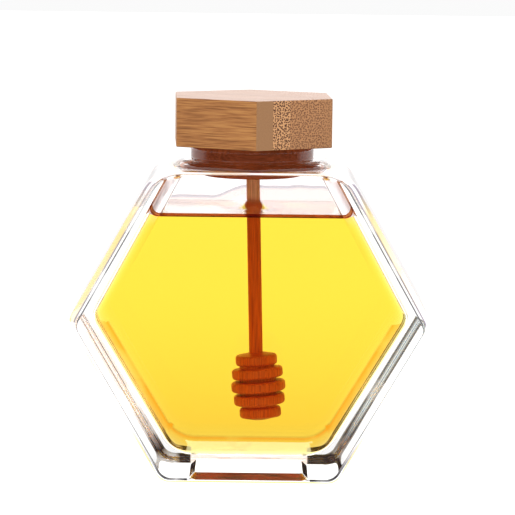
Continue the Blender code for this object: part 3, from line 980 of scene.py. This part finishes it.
def makeTurnedWood(name, look):
    # turned hardwood, wet with honey: fine streaks along the grain, a soft gloss and a little tool ripple
    material, add = newMaterial(name)
    sizes = [look["fibre"]] * 3
    sizes[look["along"]] = look["run"]
    ramps = [[(0.30, dark), (0.70, light)] for dark, light in look["tones"]]
    streaks, color, *dry = cloudedColors(add, sizes, 3.0, *ramps)
    if dry:
        place = add("TexCoord").outputs["Object"]
        height = add("SeparateXYZ", {"Vector": place}).outputs["Z"]
        begins = look["dryFrom"] - look["dryRun"]
        above = add("MapRange", {"Value": height, "From Min": begins, "From Max": look["dryFrom"]})
        color = add("Mix", {0: above, 6: color, 7: dry[0]}, data_type="RGBA").outputs[2]
    bump = add("Bump", {"Height": streaks, "Strength": 0.5, "Distance": look["fibre"] / 2})
    shader = add("BsdfPrincipled", {
        "Base Color": color, "Roughness": 0.42, "Specular IOR Level": look["gloss"], "Normal": bump,
    })
    add("OutputMaterial", {"Surface": shader})
    return material


def makeDipper():
    stickRise = stopperBox[0].z - dipperMesh["stickEndGap"] - dipperLook["Joint Z"]
    values = {**dipperLook, "Stick Length": stickRise / math.cos(dipperLook["Stick Tilt"])}
    tree, keys = makeDipperTree(values, makeTurnedWood("turnedBeechInHoney", woodLook["dipper"]))
    source = newObject("dipperSource", bpy.data.meshes.new("dipperSource"))
    modifier = source.modifiers.new("discs", "NODES")
    modifier.node_group = tree
    for label, value in values.items():
        modifier[keys[label]] = value
    mesh = evaluatedMesh("turnedDipper", source)
    smoothFaces(mesh, 35)
    addPiece("turnedDipper", mesh, "dipper_wood", "dipper")


stopperLook = {
    "intoGlass": 0.00015,      # it is pressed into the neck, and no air is left between wood and glass
    "edge": 0.0006, "belowLip": 0.0002, "steps": 96,
}


def makeStopper():
    radius = neckShape["bore"] + stopperLook["intoGlass"]
    edge = stopperLook["edge"]
    bottom = stopperBox[0].z
    top = stopperBox[1].z - stopperLook["belowLip"]
    rounded = arcPoints((radius - edge, bottom + edge), edge, edge, 270, 360)
    work = turnedWork([(0, bottom), *rounded, (radius, top), (0, top)], stopperLook["steps"])
    mesh = toMesh("stopperPlug", work)
    mesh.materials.append(makeTurnedWood("turnedStopperWood", woodLook["stopper"]))
    smoothFaces(mesh, 40)
    addPiece("stopperPlug", mesh, "stopper_wood", "stopper")


lidLook = {
    "grainAngle": math.radians(27.5),      # the pattern turns, so that the fibres run along one side
    "stripWidth": 0.0054,                  # glued strips, across the grain
    "stripStart": -0.02435,
    "bundleSize": 0.00060,                 # the bamboo's fibre bundles, across the grain
    "dotFrom": 0.24, "dotTo": 0.46,        # the soft border of a bundle's dot, as shares of its size
    "lineWidth": 0.00033, "lineRun": 0.0085, "lineHeight": 0.00010,
    "tan": "#AA6C34", "pale": "#C28646", "brown": "#84501F",
    "endTan": "#A4764C", "endPale": "#BC8454", "endBright": "#DCA26C", "endBrown": "#4A1C08",
    # the top is painted paler, as painted light, and the underside darker, as painted shade
    "top": "#C4A594", "litTopDark": "#B08A74", "under": "#6A3418",
    "boldLeast": 0.50, "boldSpread": 0.25, "secondBolder": 0.6, "firstFainter": 0.9,
    "stripTones": (0.96, 1.04),
}


def makeBambooMaterial():
    # glued strips of carbonised bamboo, sanded: long fine lines on the sides that run with the grain,
    # and dark dots of the cut bundles where the strips end
    material, add = newMaterial("carbonisedBamboo")
    angle = lidLook["grainAngle"]
    place = add("TexCoord").outputs["Object"]
    turned = add("Mapping", {"Vector": place, "Rotation": (0.0, 0.0, angle)})
    axes = add("SeparateXYZ", {"Vector": turned}).outputs
    fromStart = add("Math", [axes["Y"], lidLook["stripStart"]], operation="SUBTRACT")
    inStrips = add("Math", [fromStart, lidLook["stripWidth"]], operation="DIVIDE")
    strip = add("Math", [inStrips], operation="FLOOR")
    # the first strip shows almost no bundles, the second the boldest, and the rest vary
    chance = add("TexWhiteNoise", {"W": strip}, noise_dimensions="1D")
    second = add("Math", [strip, 1.0, 0.1], operation="COMPARE")
    first = add("Math", [strip, 0.0, 0.1], operation="COMPARE")
    varied = add("Math", [chance, lidLook["boldSpread"], lidLook["boldLeast"]], operation="MULTIPLY_ADD")
    bold = add("Math", [second, lidLook["secondBolder"], varied], operation="MULTIPLY_ADD")
    fainter = add("Math", [first, -lidLook["firstFainter"], 1.0], operation="MULTIPLY_ADD")
    boldness = add("Math", [bold, fainter], operation="MULTIPLY")

    # a bundle runs on along the grain, so its dot depends only on the two other directions
    bundlePlace = add("CombineXYZ", {"X": axes["Y"], "Y": axes["Z"]})
    bundles = add("TexVoronoi", {
        "Vector": bundlePlace, "Scale": 1 / lidLook["bundleSize"], "Randomness": 0.8,
    }, voronoi_dimensions="2D")
    lineScale = (1 / lidLook["lineRun"], 1 / lidLook["lineWidth"], 1 / lidLook["lineWidth"])
    linePlace = add("VectorMath", [turned, lineScale], operation="MULTIPLY")
    lines = add("TexNoise", {"Vector": linePlace, "Scale": 1.0, "Detail": 2.0})

    stops = [(0.30, lidLook["brown"]), (0.47, lidLook["tan"]), (0.66, lidLook["pale"])]
    side = add("ValToRGB", {"Fac": lines}, stops)
    dot = add("MapRange", {
        "Value": bundles, "From Min": lidLook["dotFrom"], "From Max": lidLook["dotTo"],
        "To Min": 1.0, "To Max": 0.0,
    })
    dotShare = add("Math", [dot, boldness], operation="MULTIPLY")
    surface = add("NewGeometry").outputs["Normal"]
    # how squarely a side cuts across the grain
    across = add("VectorMath", {
        0: surface, 1: (math.cos(angle), -math.sin(angle), 0.0),
    }, operation="DOT_PRODUCT").outputs["Value"]
    squarely = add("Math", [across], operation="ABSOLUTE")
    cut = add("MapRange", {"Value": squarely, "From Min": 0.3, "From Max": 0.6})
    # how much a face looks up or down, for the painted light on the top and the painted shade under the lid
    upward = add("SeparateXYZ", {"Vector": surface}).outputs["Z"]
    onTop = add("MapRange", {"Value": upward, "From Min": 0.5, "From Max": 0.9})
    shadedUnderside = add("MapRange", {"Value": upward, "From Min": -0.5, "From Max": -0.9})
    stops = [(0.35, lidLook["litTopDark"]), (0.60, lidLook["top"])]
    top = add("ValToRGB", {"Fac": lines}, stops)
    # the end grain first, then that end beside the long side, then the top painted paler as painted light
    # and the underside painted darker as painted shade
    color = lidLook["endPale"]
    for share, other in ((first, "endTan"), (second, "endBright"), (dotShare, "endBrown")):
        color = add("Mix", {0: share, 6: color, 7: lidLook[other]}, data_type="RGBA").outputs[2]
    color = add("Mix", {0: cut, 6: side, 7: color}, data_type="RGBA").outputs[2]
    for share, other in ((onTop, top), (shadedUnderside, lidLook["under"])):
        color = add("Mix", {0: share, 6: color, 7: other}, data_type="RGBA").outputs[2]
    darkest, lightest = lidLook["stripTones"]
    stripTone = add("MapRange", {"Value": chance, "To Min": darkest, "To Max": lightest})
    toned = add("HueSaturation", {"Color": color, "Value": stripTone})
    bump = add("Bump", {"Height": lines, "Strength": 0.4, "Distance": lidLook["lineHeight"]})
    shader = add("BsdfPrincipled", {"Base Color": toned, "Roughness": 0.48, "Normal": bump})
    add("OutputMaterial", {"Surface": shader})
    return material


def dressLid():
    # the lid keeps its CAD mesh and gets a material in that mesh's own slots
    bamboo = makeBambooMaterial()
    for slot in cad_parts["lid"].material_slots:
        slot.material = bamboo


stageLook = {
    "floorHalf": 4.0, "floorZ": -0.0002,
    # a painted shadow: the paper is darker close to the jar, this deep and this far out
    "floorFar": 1.44, "paintedShadowDip": 0.60, "paintedShadowReach": 0.19,    # the paper is darker close to the jar
    "paperDarkY": -0.55, "paperLightY": -0.30,                 # and fades into the dark room in front
    "sky": 1.30, "skyBehind": 2.0, "skyTop": 1.7,
    "frontDark": 0.05,         # behind the camera, low down: the dark room that keeps the front clear
    "seen": 1.2,               # what the camera itself sees of paper and sky
}
# where each part of the light begins and is full, along one axis of the world
lightSpans = {
    "behind": ("Y", 0.0, 0.7), "overFloor": ("Z", -0.05, 0.03), "overhead": ("Z", 0.35, 0.9),
    "low": ("Z", 0.0, -0.06), "ahead": ("Y", 0.3, 0.0),
}


def makeFloor():
    half, z = stageLook["floorHalf"], stageLook["floorZ"]
    mesh = bpy.data.meshes.new("floor")
    corners = [(-half, -half, z), (half, -half, z), (half, half, z), (-half, half, z)]
    mesh.from_pydata(corners, [], [(0, 1, 2, 3)])
    floor = newObject("floor", mesh)
    # matt white paper, lit evenly, with a soft painted shadow round the jar
    material, add = newMaterial("whitePaper")
    place = add("TexCoord").outputs["Object"]
    # the painted shadow: the paper gives less light close to the jar
    away = add("VectorMath", [place], operation="LENGTH").outputs["Value"]
    inReaches = add("Math", [away, -stageLook["paintedShadowReach"]], operation="DIVIDE")
    fall = add("Math", [inReaches], operation="EXPONENT")
    glow = add("Math", [fall, -stageLook["paintedShadowDip"], stageLook["floorFar"]], operation="MULTIPLY_ADD")
    ahead = add("SeparateXYZ", {"Vector": place}).outputs["Y"]
    dark = add("MapRange", {
        "Value": ahead, "From Min": stageLook["paperDarkY"], "From Max": stageLook["paperLightY"],
        "To Min": stageLook["frontDark"],
    }, interpolation_type="SMOOTHSTEP")
    lit = add("Math", [glow, dark], operation="MULTIPLY")
    ray = add("LightPath").outputs["Is Camera Ray"]
    seen = add("Mix", {"Factor": ray, "A": lit, "B": stageLook["seen"]})
    light = add("Emission", {"Color": "#FFFFFF", "Strength": seen})
    add("OutputMaterial", {"Surface": light})
    mesh.materials.append(material)
    floor.visible_glossy = False     # the paper doesn't veil the clear front of the jar


def makeLight():
    world = bpy.data.worlds.new("studio")
    bpy.context.scene.world = world
    world.use_nodes = True
    world.node_tree.nodes.clear()
    add = partial(addNode, world.node_tree)
    place = add("TexCoord").outputs["Generated"]
    axes = add("SeparateXYZ", {"Vector": place}).outputs
    span = {}
    for name, (axis, begins, full) in lightSpans.items():
        span[name] = add("MapRange", {
            "Value": axes[axis], "From Min": begins, "From Max": full,
        }, interpolation_type="SMOOTHSTEP")
    span["overhead"].inputs["To Max"].default_value = stageLook["skyTop"] - stageLook["sky"]

    # one soft sky, brighter behind the jar and overhead
    behind = add("Math", [span["behind"], span["overFloor"]], operation="MULTIPLY")
    brighter = stageLook["skyBehind"] - stageLook["sky"]
    extra = add("Math", [behind, brighter, span["overhead"]], operation="MULTIPLY_ADD")
    sky = add("Math", [extra, stageLook["sky"]], operation="ADD")
    # the dark room low in front
    room = add("Math", [span["low"], span["ahead"]], operation="MULTIPLY")
    openShare = add("Math", [room, stageLook["frontDark"] - 1.0, 1.0], operation="MULTIPLY_ADD")
    lit = add("Math", [sky, openShare], operation="MULTIPLY")
    ray = add("LightPath").outputs["Is Camera Ray"]
    strength = add("Mix", {"Factor": ray, "A": lit, "B": stageLook["seen"]})
    background = add("Background", {"Strength": strength})
    add("OutputWorld", {"Surface": background})


def setRender():
    # light passes many walls of glass and honey on its way through the jar
    scene = bpy.context.scene
    scene.view_settings.view_transform = "Standard"
    scene.cycles.use_denoising = True
    scene.cycles.max_bounces = 32
    scene.cycles.transmission_bounces = 32
    scene.cycles.glossy_bounces = 16
    scene.cycles.transparent_max_bounces = 16


makeCamera()
print("camera set")
makeJar()
print("glass made")
makeHoney()
print("honey made")
makeHoneyRim()
makeBackFilm()
makeSideFilm("leftFilm", -1)
makeSideFilm("rightFilm", 1)
print("film made")
makeDipper()
print("dipper made")
makeStopper()
dressLid()
print("lid made")
makeFloor()
makeLight()
setRender()
print("stage made")
